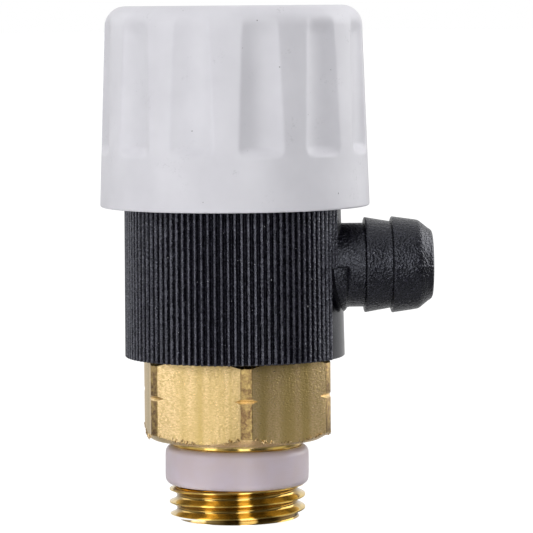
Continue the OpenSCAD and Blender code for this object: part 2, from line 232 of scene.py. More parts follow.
class Board:
    """A material's node tree with short calls for the nodes that the finishes use."""

    def __init__(self, name: str) -> None:
        """Starts a material with one Principled shader.

        Args:
            name: the material's name.
        """
        self.material = bpy.data.materials.new(name)
        self.material.use_nodes = True
        self.tree = self.material.node_tree
        self.shader = self.tree.nodes["Principled BSDF"]
        self.place = self.tree.nodes.new("ShaderNodeTexCoord").outputs["Object"]

    def node(self, kind: str, **settings: object) -> bpy.types.Node:
        """Adds a node.

        Args:
            kind: the node's type.
            **settings: properties to set on it, by name.

        Returns:
            The node.
        """
        made = self.tree.nodes.new(kind)
        for key, value in settings.items():
            setattr(made, key, value)
        return made

    def wire(self, source: object, target: Socket) -> None:
        """Feeds an input.

        Args:
            source: a socket to link, or a plain value to set.
            target: the input.
        """
        if isinstance(source, bpy.types.NodeSocket):
            self.tree.links.new(source, target)
        else:
            target.default_value = source

    def stretched(self, scale: tuple[float, float, float], source: Optional[Socket] = None) -> Socket:
        """Gives coordinates multiplied axis by axis.

        Args:
            scale: the three factors.
            source: the coordinates, or None for the object's.

        Returns:
            The scaled coordinates.
        """
        mapping = self.node("ShaderNodeMapping")
        self.wire(source or self.place, mapping.inputs["Vector"])
        mapping.inputs["Scale"].default_value = scale
        return mapping.outputs["Vector"]

    def grain(self, size: float, detail: float = 2.0, rough: float = 0.5,
              stretch: tuple[float, float, float] = (1, 1, 1)) -> Socket:
        """Gives a noise value.

        Args:
            size: width of one grain, in mm.
            detail: octaves of finer noise.
            rough: strength of the finer octaves.
            stretch: how much the pattern is squeezed along each axis; below 1 draws it out.

        Returns:
            The noise, from 0 to 1 and mostly near a half.
        """
        made = self.node("ShaderNodeTexNoise")
        self.wire(self.stretched(stretch), made.inputs["Vector"])
        made.inputs["Scale"].default_value = 1 / (size * MM)
        made.inputs["Detail"].default_value = detail
        made.inputs["Roughness"].default_value = rough
        return made.outputs["Fac"]

    def span(self, source: Socket, low: float, high: float, to_low: float = 0.0,
             to_high: float = 1.0) -> Socket:
        """Maps a value from one range to another and holds it at the ends.

        Args:
            source: the value.
            low: value that becomes to_low.
            high: value that becomes to_high.
            to_low: result at low.
            to_high: result at high.

        Returns:
            The mapped value.
        """
        made = self.node("ShaderNodeMapRange")
        made.clamp = True
        self.wire(source, made.inputs["Value"])
        limits = {"From Min": low, "From Max": high, "To Min": to_low, "To Max": to_high}
        for key, value in limits.items():
            made.inputs[key].default_value = value
        return made.outputs["Result"]

    def sum(self, kind: str, first: object, second: object = 0.0) -> Socket:
        """Combines two values.

        Args:
            kind: the Math node's operation.
            first: the first value or socket.
            second: the second value or socket.

        Returns:
            The result.
        """
        made = self.node("ShaderNodeMath", operation=kind)
        self.wire(first, made.inputs[0])
        self.wire(second, made.inputs[1])
        return made.outputs[0]

    def blend(self, share: object, first: object, second: object) -> Socket:
        """Mixes two colours.

        Args:
            share: share of the second colour, from 0 to 1.
            first: the first colour.
            second: the second colour.

        Returns:
            The mixed colour.
        """
        made = self.node("ShaderNodeMix", data_type="RGBA")
        self.wire(share, made.inputs["Factor"])
        self.wire(first, made.inputs["A"])
        self.wire(second, made.inputs["B"])
        return made.outputs[2]

    def heights(self) -> Socket:
        """Measures a point's height.

        Returns:
            The height above the nipple's end, in metres.
        """
        split = self.node("ShaderNodeSeparateXYZ")
        self.wire(self.place, split.inputs[0])
        return split.outputs["Z"]

    def radius(self) -> Socket:
        """Measures a point's distance from the axis.

        Returns:
            The distance, in metres.
        """
        flat = self.node("ShaderNodeVectorMath", operation="MULTIPLY")
        self.wire(self.place, flat.inputs[0])
        flat.inputs[1].default_value = (1, 1, 0)
        length = self.node("ShaderNodeVectorMath", operation="LENGTH")
        self.wire(flat.outputs[0], length.inputs[0])
        return length.outputs["Value"]

    def relief(self, height: Socket, depth: float, strength: float = 1.0,
               under: Optional[Socket] = None) -> Socket:
        """Gives a bumped normal.

        Args:
            height: the height pattern.
            depth: how deep one unit of it is, in mm.
            strength: share of the bump that is used.
            under: a normal that this one is laid over.

        Returns:
            The normal for a shader.
        """
        made = self.node("ShaderNodeBump")
        self.wire(height, made.inputs["Height"])
        made.inputs["Distance"].default_value = depth * MM
        made.inputs["Strength"].default_value = strength
        if under is not None:
            self.wire(under, made.inputs["Normal"])
        return made.outputs["Normal"]

    def finish(self, **inputs: object) -> bpy.types.Material:
        """Feeds the shader and ends the material.

        Args:
            **inputs: values or sockets, by the shader input's name with underscores for spaces.

        Returns:
            The material.
        """
        for key, value in inputs.items():
            self.wire(value, self.shader.inputs[key.replace("_", " ")])
        return self.material


class BlackFace(Enum):
    """The three kinds of surface on the black moulding."""

    RIBBED = "black_ribbed_plastic"
    MOULDED = "black_moulded_plastic"
    GLOSSY = "black_glossy_plastic"


@dataclass(frozen=True)
class BlackPlastic:
    """Glass-filled black plastic with the mould's spark-eroded texture, a painted highlight along the rib
    crests, painted shade in the rib valleys' reflections and a little dust.
    """

    face: BlackFace
    colour: Colour = (0.0012, 0.0011, 0.0026, 1)
    worn: Colour = (0.0030, 0.0028, 0.0056, 1)
    fibre: Colour = (0.020, 0.019, 0.029, 1)
    # The crest colour is a painted highlight laid along the rib crests.
    crest: Colour = (0.080, 0.078, 0.100, 1)
    dust: Colour = (0.50, 0.50, 0.53, 1)
    sheen_tint: Colour = (0.84, 0.87, 1.0, 1)
    # Painted shade: this tint darkens the reflections down in the rib valleys.
    valley_shade_tint: Colour = (0.13, 0.13, 0.16, 1)
    grain_size: float = 0.27
    grain_depth: float = 0.11
    valley_r: float = 12.93
    crest_r: float = 13.05
    crest_highlight_width: float = 0.10
    taper: float = 0.0041
    ribbed_gloss: float = 0.76
    moulded_gloss: float = 0.56

    def material(self) -> bpy.types.Material:
        """Builds the node material.

        Returns:
            The material.
        """
        board = Board(self.face.value)
        cloud = board.grain(2.4, 3, 0.6)
        tone = board.blend(board.span(cloud, 0.35, 0.7), self.colour, self.worn)
        if self.face is BlackFace.GLOSSY:
            rough = board.span(cloud, 0.3, 0.7, 0.12, 0.22)
            skin = board.relief(board.grain(0.5, 2, 0.5), 0.003)
            return board.finish(Base_Color=tone, Roughness=rough, Normal=skin,
                                Specular_Tint=self.sheen_tint)
        pits = board.grain(self.grain_size, 1, 0.5)
        tone = board.blend(board.span(pits, 0.54, 0.68), tone, self.fibre)
        if self.face is BlackFace.RIBBED:
            evened = board.sum("ADD", board.radius(), board.sum("MULTIPLY", board.heights(), self.taper))
            # Painted highlight: the crest colour goes on the outermost band of each rib, in patches set by
            # noise.
            crest_highlight_share = board.span(evened, self.crest_r * MM, (self.crest_r + self.crest_highlight_width) * MM)
            highlight_patches = board.span(board.grain(0.4, 3, 0.7, (1, 1, 0.3)), 0.30, 0.62)
            crest_highlight_share = board.sum("MULTIPLY", crest_highlight_share, highlight_patches)
            tone = board.blend(crest_highlight_share, tone, self.crest)
            # Painted shade: the reflections are tinted dark from the crests down into the rib valleys.
            lit = board.span(evened, self.valley_r * MM, self.crest_r * MM)
            tint = board.blend(lit, self.valley_shade_tint, self.sheen_tint)
            gloss = self.ribbed_gloss
        else:
            tint = self.sheen_tint
            gloss = self.moulded_gloss
        specks = board.span(board.grain(0.24, 1, 0.4), 0.795, 0.82)
        tone = board.blend(specks, tone, self.dust)
        rough = board.span(pits, 0.35, 0.65, 0.36, 0.20)
        return board.finish(Base_Color=tone, Roughness=rough, Specular_IOR_Level=gloss,
                            Specular_Tint=tint, Normal=board.relief(pits, self.grain_depth))


@dataclass(frozen=True)
class WhitePlastic:
    """White moulded plastic with faint scuffs and a few dark specks."""

    colour: Colour = (0.745, 0.738, 0.785, 1)
    shade: Colour = (0.685, 0.678, 0.724, 1)
    scuff: Colour = (0.50, 0.50, 0.53, 1)
    speck: Colour = (0.25, 0.25, 0.27, 1)

    def material(self) -> bpy.types.Material:
        """Builds the node material.

        Returns:
            The material.
        """
        board = Board("white_moulded_plastic")
        cloud = board.grain(7.0, 3, 0.55)
        tone = board.blend(board.span(cloud, 0.35, 0.68), self.colour, self.shade)
        rubbed = board.sum("MULTIPLY", board.span(board.grain(3.1, 2, 0.5), 0.60, 0.72),
                           board.span(board.grain(0.35, 3, 0.7), 0.55, 0.66))
        tone = board.blend(board.sum("MULTIPLY", rubbed, 0.55), tone, self.scuff)
        specks = board.span(board.grain(0.42, 1, 0.3), 0.815, 0.83)
        tone = board.blend(specks, tone, self.speck)
        rough = board.span(board.grain(1.3, 4, 0.6), 0.3, 0.7, 0.40, 0.52)
        skin = board.relief(board.grain(0.18, 2, 0.5), 0.004)
        normal = board.relief(board.grain(2.5, 2, 0.5), 0.03, under=skin)
        return board.finish(Base_Color=tone, Roughness=rough, Normal=normal,
                            Subsurface_Weight=0.12, Subsurface_Radius=(0.8, 0.8, 0.8),
                            Subsurface_Scale=0.0008)


@dataclass(frozen=True)
class Nylon:
    """Translucent natural nylon of the seal ring."""

    colour: Colour = (0.62, 0.54, 0.605, 1)
    warm: Colour = (0.61, 0.52, 0.55, 1)

    def material(self) -> bpy.types.Material:
        """Builds the node material.

        Returns:
            The material.
        """
        board = Board("natural_nylon")
        tone = board.blend(board.span(board.grain(2.2, 3, 0.5), 0.3, 0.7), self.colour, self.warm)
        rough = board.span(board.grain(0.8, 3, 0.6), 0.3, 0.7, 0.30, 0.46)
        lines = board.relief(board.grain(0.5, 2, 0.5, (0.1, 0.1, 3)), 0.01)
        return board.finish(Base_Color=tone, Roughness=rough, Normal=lines, Subsurface_Weight=0.5,
                            Subsurface_Radius=(1.0, 0.9, 0.9), Subsurface_Scale=0.0015)


class BrassCut(Enum):
    """How a brass surface was made."""

    FORGED = "forged"
    TURNED = "turned"
    TORN = "torn"


@dataclass(frozen=True)
class Brass:
    """Brass: milled or pressed flats, darker corner skin, bright turned faces with painted shade in the
    thread's roots.
    """

    cut: BrassCut
    flat: Colour = (0.81, 0.60, 0.32, 1)
    band: Colour = (0.56, 0.405, 0.155, 1)
    corner: Colour = (0.22, 0.13, 0.065, 1)
    bright: Colour = (0.98, 0.68, 0.18, 1)
    # The root colour is the torn burrs' brown, and the painted shade in the turned thread's roots.
    root: Colour = (0.25, 0.14, 0.035, 1)
    root_r: float = 7.15
    groove_run: float = 0.45
    thread_top: float = 4.6
    bored_r: float = 6.3
    root_shade_share: float = 0.72
    corner_r: float = 11.74

    def material(self) -> bpy.types.Material:
        """Builds the node material for the chosen cut.

        Returns:
            The material.
        """
        makers = {BrassCut.TURNED: self._turned, BrassCut.TORN: self._torn, BrassCut.FORGED: self._forged}
        return makers[self.cut]()

    def _torn(self) -> bpy.types.Material:
        """Makes torn brass, bright on its ridges and brown between them.

        Returns:
            The material.
        """
        board = Board("brass_torn")
        tone = board.blend(board.span(board.grain(0.22, 2, 0.6), 0.40, 0.56), self.root, self.flat)
        rough = board.span(board.grain(0.4, 2, 0.5), 0.3, 0.7, 0.24, 0.40)
        return board.finish(Base_Color=tone, Metallic=1.0, Roughness=rough,
                            Normal=board.relief(board.grain(0.15), 0.02))

    def _turned(self) -> bpy.types.Material:
        """Makes bright brass with fine tool rings and painted shade in the thread's roots.

        Returns:
            The material.
        """
        board = Board("brass_turned")
        rings = board.grain(0.12, 2, 0.5, (0.05, 0.05, 1))
        stain = board.span(board.grain(1.6, 3, 0.6), 0.45, 0.75)
        tone = board.blend(stain, self.bright, self.band)
        below = board.span(board.heights(), self.thread_top * MM, (self.thread_top - 0.1) * MM)
        # Painted shade: the root colour darkens the thread's roots, below the thread's top and outside the
        # bore.
        deep = board.span(board.radius(), (self.root_r + self.groove_run) * MM, self.root_r * MM)
        bored = board.span(board.radius(), self.bored_r * MM, (self.bored_r + 0.3) * MM)
        deep = board.sum("MULTIPLY", board.sum("MULTIPLY", deep, below), bored)
        tone = board.blend(board.sum("MULTIPLY", deep, self.root_shade_share), tone, self.root)
        rough = board.span(rings, 0.3, 0.7, 0.10, 0.17)
        normal = board.relief(rings, 0.004)
        return board.finish(Base_Color=tone, Metallic=1.0, Roughness=rough, Normal=normal)

    def _forged(self) -> bpy.types.Material:
        """Makes satin brass, with upright draw marks on the flats and a browner skin on the corners.

        Returns:
            The material.
        """
        board = Board("brass_satin")
        bands = board.grain(2.2, 2, 0.5, (1, 1, 0.04))
        fine = board.grain(0.22, 2, 0.7, (0.7, 0.7, 1.3))
        tone = board.blend(board.span(bands, 0.42, 0.60), self.flat, self.band)
        tone = board.blend(board.span(fine, 0.42, 0.62, 0.0, 0.75), tone, self.band)
        on_corner = board.span(board.radius(), (self.corner_r - 0.02) * MM, (self.corner_r + 0.02) * MM)
        skin = board.blend(board.span(board.grain(0.5, 3, 0.6), 0.35, 0.7), self.corner, self.band)
        tone = board.blend(on_corner, tone, skin)
        pits = board.span(board.grain(0.30, 2, 0.4), 0.70, 0.78)
        tone = board.blend(board.sum("MULTIPLY", pits, 0.5), tone, self.corner)
        rough = board.span(fine, 0.3, 0.7, 0.26, 0.42)
        rough = board.sum("ADD", rough, board.sum("MULTIPLY", on_corner, 0.08))
        normal = board.relief(fine, 0.06)
        normal = board.relief(board.grain(1.8, 2, 0.5, (1, 1, 0.05)), 0.03, under=normal)
        return board.finish(Base_Color=tone, Metallic=1.0, Roughness=rough, Normal=normal)


@dataclass(frozen=True)
class Rubber:
    """Black sealing rubber."""

    colour: Colour = (0.018, 0.018, 0.018, 1)
    bloom: Colour = (0.05, 0.05, 0.05, 1)

    def material(self) -> bpy.types.Material:
        """Builds the node material.

        Returns:
            The material.
        """
        board = Board("sealing_rubber")
        tone = board.blend(board.span(board.grain(0.9, 3, 0.6), 0.4, 0.7), self.colour, self.bloom)
        rough = board.span(board.grain(0.3, 2, 0.5), 0.3, 0.7, 0.55, 0.72)
        return board.finish(Base_Color=tone, Roughness=rough, Normal=board.relief(board.grain(0.1), 0.006))


@dataclass(frozen=True)
class Steel:
    """Stamped stainless steel."""

    colour: Colour = (0.62, 0.62, 0.63, 1)
    dull: Colour = (0.45, 0.45, 0.46, 1)

    def material(self) -> bpy.types.Material:
        """Builds the node material.

        Returns:
            The material.
        """
        board = Board("stainless_steel")
        lines = board.grain(0.2, 3, 0.6, (1, 0.05, 1))
        tone = board.blend(board.span(board.grain(1.1, 3, 0.6), 0.4, 0.7), self.colour, self.dull)
        rough = board.span(lines, 0.3, 0.7, 0.20, 0.34)
        return board.finish(Base_Color=tone, Metallic=1.0, Roughness=rough, Normal=board.relief(lines, 0.003))


@dataclass(frozen=True)
class FloatPlastic:
    """Off-white plastic of the float and the glide washer."""

    colour: Colour = (0.78, 0.75, 0.66, 1)
    shade: Colour = (0.70, 0.66, 0.56, 1)

    def material(self) -> bpy.types.Material:
        """Builds the node material.

        Returns:
            The material.
        """
        board = Board("float_plastic")
        tone = board.blend(board.span(board.grain(3, 3, 0.5), 0.35, 0.7), self.colour, self.shade)
        rough = board.span(board.grain(0.6, 3, 0.6), 0.3, 0.7, 0.36, 0.48)
        return board.finish(Base_Color=tone, Roughness=rough, Normal=board.relief(board.grain(0.3), 0.006))


class Finishes:
    """All finishes of the vent, made once, by record slot."""

    def __init__(self) -> None:
        """Builds every material."""
        self.turned_brass = Brass(BrassCut.TURNED).material()
        self.torn_brass = Brass(BrassCut.TORN).material()
        self.ribbed_black = BlackPlastic(BlackFace.RIBBED).material()
        self.glossy_black = BlackPlastic(BlackFace.GLOSSY).material()
        self.by_slot: dict[Slot, bpy.types.Material] = {
            Slot.BRASS: Brass(BrassCut.FORGED).material(),
            Slot.NYLON: Nylon().material(),
            Slot.BLACK: BlackPlastic(BlackFace.MOULDED).material(),
            Slot.WHITE: WhitePlastic().material(),
            Slot.RUBBER: Rubber().material(),
            Slot.STEEL: Steel().material(),
            Slot.FLOAT: FloatPlastic().material(),
        }

    def dress(self, piece: bpy.types.Object, slot: Slot) -> None:
        """Gives a new piece the finish of a slot.

        Args:
            piece: the piece.
            slot: the slot whose finish it takes.
        """
        piece.data.materials.clear()
        piece.data.materials.append(self.by_slot[slot])

    def dress_frame(self) -> None:
        """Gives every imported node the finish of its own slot, and the brass ones turned brass."""
        for entry in frame["record"]["subparts"]:
            node = frame["nodes"][entry["node"]]
            finish = self.by_slot[Slot(entry["material_slot"])]
            if entry["material_slot"] == Slot.BRASS.value:
                finish = self.turned_brass
            for index in range(max(1, len(node.material_slots))):
                if not node.material_slots:
                    node.data.materials.append(finish)
                node.material_slots[index].material = finish


# ---------------------------------------------------------------- pieces

@dataclass
class HandCap:
    """Fluted hand cap and the cover in its top."""

    rim_r: float = 15.8
    shoulder_r: float = 15.05
    rim_z: float = 37.1
    top_z: float = 60.5
    corner: float = 2.4
    rim_round: float = 0.25
    flutes: int = 12
    flute_turn: float = 10.0
    flute_low: float = 43.1
    flute_high: float = 60.0
    half_low: float = 9.9
    half_high: float = 7.7
    depth_low: float = 0.98
    depth_high: float = 0.56
    hollow_power: float = 2.2
    ledge_run: float = 1.4
    top_run: float = 3.0
    fluted_from_r: float = 13.1
    steps: int = 480
    cover_r: float = 7.5
    cover_h: float = 1.2
    inner_r: float = 13.6
    hub_r: float = 4.6
    hollow: tuple[Point, ...] = (
        (13.6, 44.0), (12.9, 58.7), (8.2, 58.7), (8.2, 52.4), (5.8, 52.4), (5.8, 56.0), (2.6, 56.0),
        (2.6, 57.2), (4.6, 57.2))

    def outer_r(self, z: float) -> float:
        """Gives the land's radius at a height."""
        share = (z - self.rim_z) / (self.top_z - self.corner - self.rim_z)
        return self.rim_r + (self.shoulder_r - self.rim_r) * share

    def profile(self) -> list[Point]:
        """Draws the cap's section, from the cover's recess over the outside to the inside.

        Returns:
            The section's (radius, height) points, in mm.
        """
        bend_z = self.top_z - self.corner
        heights = (ladder(self.rim_z + self.rim_round, self.flute_low - 0.6, 4)
                   + ladder(self.flute_low - 0.4, self.flute_low + 1.4, 20)
                   + ladder(self.flute_low + 1.8, bend_z - 1.6, 14)
                   + ladder(bend_z - 1.4, bend_z - 0.05, 8))
        wall = [(self.outer_r(z), z) for z in reversed(heights)]
        return ([(self.cover_r, self.top_z - self.cover_h), (self.cover_r, self.top_z - 0.12),
                 (self.cover_r + 0.12, self.top_z), (9.5, self.top_z), (11.5, self.top_z)]
                + arc((self.shoulder_r - self.corner, bend_z), self.corner, 90, 2, 20)
                + wall
                + arc((self.rim_r - self.rim_round, self.rim_z + self.rim_round), self.rim_round, -15, -90, 3)
                + [(self.inner_r + 0.25, self.rim_z), (self.inner_r, self.rim_z + 0.25), *self.hollow,
                   (self.hub_r, self.top_z - self.cover_h)])

    def flute_depth(self, angle: float, z: float) -> float:
        """Measures how far a flute lowers the surface.

        Args:
            angle: the angle about the axis, in degrees.
            z: the height, in mm.

        Returns:
            The depth, in mm; 0 on a land.
        """
        if not self.flute_low < z < self.flute_high:
            return 0.0
        pitch = 360 / self.flutes
        off = (angle - self.flute_turn + pitch / 2) % pitch - pitch / 2
        share = (z - self.flute_low) / (self.flute_high - self.flute_low)
        rise = min((z - self.flute_low) / self.ledge_run, 1.0)
        fall = min((self.flute_high - z) / self.top_run, 1.0)
        half = self.half_low + (self.half_high - self.half_low) * share
        half *= 1 - 0.16 * (1 - rise) ** 2 - 0.10 * (1 - fall) ** 2
        across = min(abs(off) / half, 1.0)
        depth = self.depth_low + (self.depth_high - self.depth_low) * share
        return depth * (1 - across ** self.hollow_power) * smooth(rise) * smooth(fall)

    def build(self, finishes: Finishes) -> list[bpy.types.Object]:
        """Builds the cap and its cover.

        Args:
            finishes: the vent's finishes.

        Returns:
            The two pieces.
        """
        bm = spun(self.profile(), self.steps)
        for vert in bm.verts:
            radius = math.hypot(vert.co.x, vert.co.y)
            if radius < self.fluted_from_r * MM or vert.co.z > self.top_z * MM - 1e-6:
                continue
            angle = math.degrees(math.atan2(vert.co.y, vert.co.x))
            scale = 1 - self.flute_depth(angle, vert.co.z / MM) * MM / radius
            vert.co.x *= scale
            vert.co.y *= scale
        cap = as_object(bm, "fluted_cap", 40)
        finishes.dress(cap, Slot.WHITE)
        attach(cap, Body.CAP.value)
        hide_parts("hand_cap")
        seat = self.top_z - self.cover_h
        cover = turned("cap_cover_disc",
                       [(0, seat), (self.cover_r - 0.06, seat), (self.cover_r - 0.06, self.top_z - 0.2)]
                       + arc((self.cover_r - 0.24, self.top_z - 0.2), 0.18, 0, 90, 4)
                       + [(6.2, self.top_z - 0.06), (3.0, self.top_z - 0.1), (0, self.top_z - 0.1)],
                       128, closed=False)
        finishes.dress(cover, Slot.WHITE)
        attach(cover, Body.CAP.value)
        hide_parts("cap_cover")
        return [cap, cover]


@dataclass
class SwivelHousing:
    """Ribbed housing with its two-barb hose tail."""

    low_z: float = 19.46
    high_z: float = 44.0
    rib_low_r: float = 13.05
    rib_high_r: float = 12.95
    rib_depth: float = 0.36
    ribs: int = 104
    crest_share: float = 0.2
    smooth_low_r: float = 12.78
    smooth_high_r: float = 12.25
    half_below: float = 32.5
    half_above: float = 25.6
    bore_r: float = 9.58
    recess_r: float = 12.08
    recess_z: float = 20.2
    tail_z: float = 30.0
    tail_bore_r: float = 3.25
    tail_end: float = 23.1
    stem_r: float = 4.95
    collar_r: float = 5.5
    collar_x: float = 12.9
    points_per_rib: int = 10
    tail_steps: int = 192

    def outline_r(self, angle: float, z: float) -> float:
        """Measures the housing's outline.

        Args:
            angle: the angle from the hose tail, in degrees.
            z: the height, in mm.

        Returns:
            The radius, in mm.
        """
        share = (z - self.low_z) / (self.high_z - self.low_z)
        crest = self.rib_low_r + (self.rib_high_r - self.rib_low_r) * share
        plain = self.smooth_low_r + (self.smooth_high_r - self.smooth_low_r) * share
        half = self.half_below if z < self.tail_z else self.half_above
        if abs(angle) < half:
            return plain
        phase = (angle * self.ribs / 360) % 1.0
        down = max(0.0, abs(phase - 0.5) * 2 - self.crest_share) / (1 - self.crest_share)
        return crest - self.rib_depth * (0.5 - 0.5 * math.cos(math.pi * min(down * 1.15, 1.0)))

    def shell(self) -> bpy.types.Object:
        """Builds the ribbed outside as one solid.

        Returns:
            The solid.
        """
        count = self.ribs * self.points_per_rib
        angles = [360 * index / count - 180 for index in range(count)]
        rows = ([self.low_z, self.low_z + 0.1, self.low_z + 0.3]
                + ladder(self.low_z + 2, self.tail_z - 0.06, 5)
                + ladder(self.tail_z + 0.06, self.high_z - 0.3, 6) + [self.high_z])
        bm = bmesh.new()
        ring = bmesh.ops.create_circle(bm, cap_ends=False, segments=count, radius=MM)["verts"]
        ring_edges = list(bm.edges)
        bands = [ring]
        for _ in rows[1:]:
            made = bmesh.ops.extrude_edge_only(bm, edges=ring_edges)["geom"]
            bands.append([item for item in made if isinstance(item, bmesh.types.BMVert)])
            ring_edges = [item for item in made if isinstance(item, bmesh.types.BMEdge)]
            chosen = set(bands[-1])
            ring_edges = [edge for edge in ring_edges if set(edge.verts) <= chosen]
        for z, band in zip(rows, bands):
            for vert in band:
                angle = math.atan2(vert.co.y, vert.co.x)
                inset = 0.1 if z in (rows[0], rows[-1]) else 0.0
                radius = self.outline_r(math.degrees(angle), z) - inset
                vert.co = Vector((radius * math.cos(angle), radius * math.sin(angle), z)) * MM
        bmesh.ops.holes_fill(bm, edges=[edge for edge in bm.edges if edge.is_boundary], sides=0)
        bmesh.ops.recalc_face_normals(bm, faces=bm.faces)
        return as_object(bm, "ribbed_housing")

    def tail(self) -> bpy.types.Object:
        """Builds the hose tail's outside as a solid along +X.

        Returns:
            The solid.
        """
        collar = self.collar_x
        root = [(0, 10.2), (self.collar_r, 10.2), (self.collar_r, collar - 0.4),
                (self.collar_r - 0.06, collar - 0.15), (self.collar_r - 0.22, collar + 0.02),
                (self.collar_r - 0.42, collar + 0.12), (self.stem_r + 0.03, collar + 0.26),
                (self.stem_r, collar + 0.45), (self.stem_r, 15.0)]
        first_barb = [(5.5, 15.1), (5.58, 15.15), (5.61, 15.24), (5.58, 15.4), (5.44, 16.2), (5.27, 17.2),
                      (5.12, 18.08), (5.12, 18.16)]
        second_barb = [(5.52, 18.28), (5.63, 18.33), (5.67, 18.44), (5.64, 18.6), (5.5, 19.6), (5.36, 20.6),
                       (5.25, 21.3), (5.18, 21.5)]
        tip = [(5.06, 21.68), (4.76, 22.05), (4.46, 22.42), (4.3, 22.62), (4.16, 22.86), (4.02, 23.01),
               (3.82, self.tail_end), (0, self.tail_end)]
        bm = spun(root + first_barb + second_barb + tip, self.tail_steps, closed=False)
        self.lay_along_x(bm)
        self.raise_parting_line(bm)
        return as_object(bm, "hose_tail")

    def lay_along_x(self, bm: bmesh.types.BMesh) -> None:
        """Turns a mesh from the vertical axis onto the hose tail's axis."""
        turn = Matrix.Translation((0, 0, self.tail_z * MM)) @ Matrix.Rotation(math.pi / 2, 4, "Y")
        bmesh.ops.transform(bm, matrix=turn, verts=bm.verts)

    def raise_parting_line(self, bm: bmesh.types.BMesh) -> None:
        """Lifts the mould's parting line along the tail and takes the collar off its upper half.

        Args:
            bm: the tail's mesh, already along +X.
        """
        for vert in bm.verts:
            up = vert.co.z / MM - self.tail_z
            radius = math.hypot(vert.co.y / MM, up)
            if radius < 3.0:
                continue
            lift = 0.035 if abs(up) < 1e-3 else (-0.02 if up > 0 else 0.0)
            if up > 1e-3 and vert.co.x < (self.collar_x + 0.4) * MM:
                lift = min(radius, self.stem_r) - 0.02 - radius
            scale = 1 + lift / radius
            vert.co.y *= scale
            vert.co.z = (self.tail_z + up * scale) * MM

    def build(self, finishes: Finishes) -> bpy.types.Object:
        """Builds the housing and bores it.

        Args:
            finishes: the vent's finishes.

        Returns:
            The housing with its hose tail.
        """
        housing = self.shell()
        combine(housing, self.tail(), Merge.JOIN)
        over = 1.0
        cavity = turned("housing_cavity",
                        [(0, self.low_z - over), (self.recess_r, self.low_z - over),
                         (self.recess_r, self.recess_z), (self.bore_r, self.recess_z),
                         (self.bore_r, self.high_z + over), (0, self.high_z + over)], 192, closed=False)
        combine(housing, cavity, Merge.CUT)
        bm = spun([(0, 5.0), (self.tail_bore_r, 5.0), (self.tail_bore_r, self.tail_end - 0.35),
                   (self.tail_bore_r + 0.35 + over, self.tail_end + over), (0, self.tail_end + over)], 96,
                  closed=False)
        self.lay_along_x(bm)
        combine(housing, as_object(bm, "tail_bore"), Merge.CUT)
        shade(housing, 38)
        finishes.dress(housing, Slot.BLACK)
        self.dress_faces(housing, finishes)
        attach(housing, Body.SWIVEL.value)
        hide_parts("swivel_housing")
        return housing

    def dress_faces(self, housing: bpy.types.Object, finishes: Finishes) -> None:
        """Gives the ribs their finish with painted crest highlights and painted valley shade, and the plain
        field below the tail its glossier one.

        Args:
            housing: the housing.
            finishes: the vent's finishes.
        """
        housing.data.materials.append(finishes.ribbed_black)
        housing.data.materials.append(finishes.glossy_black)
        for face in housing.data.polygons:
            centre = face.center / MM
            angle = abs(math.degrees(math.atan2(centre.y, centre.x)))
            half = self.half_below if centre.z < self.tail_z else self.half_above
            upright = abs(face.normal.z) < 0.3 and 12.0 < centre.xy.length < self.rib_low_r + 0.02
            if upright and angle > half - 0.1:
                face.material_index = 1
            elif upright and centre.z < self.tail_z and centre.xy.length < self.smooth_low_r + 0.02:
                face.material_index = 2


